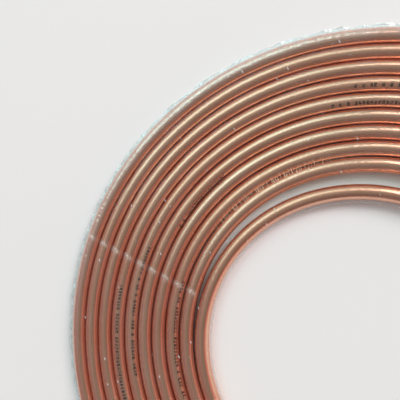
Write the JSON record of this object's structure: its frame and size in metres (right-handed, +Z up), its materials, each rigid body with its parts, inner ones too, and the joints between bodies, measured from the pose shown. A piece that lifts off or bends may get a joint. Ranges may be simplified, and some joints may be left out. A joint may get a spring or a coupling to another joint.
{
  "type": "copper tube coil",
  "caption": "Soft copper tube wound tight into a flat single-layer coil round an open bore, closed in a clear shrink film with a welded fin.",
  "frame": {"origin": "on the floor, under the middle of the film's rim", "axes": "+Z up along the coil's axis; +X towards the side where both ends of the tube are"},
  "size_m": [0.6632, 0.6551, 0.0172],
  "materials": {
    "copper": "bright drawn copper, satin, with fine lines along the tube",
    "clear_film": "clear thin shrink film, glossy, slightly wrinkled"
  },
  "bodies": {
    "root": {"tube_coil": "copper", "shrink_film": "clear_film"}
  },
  "joints": []
}
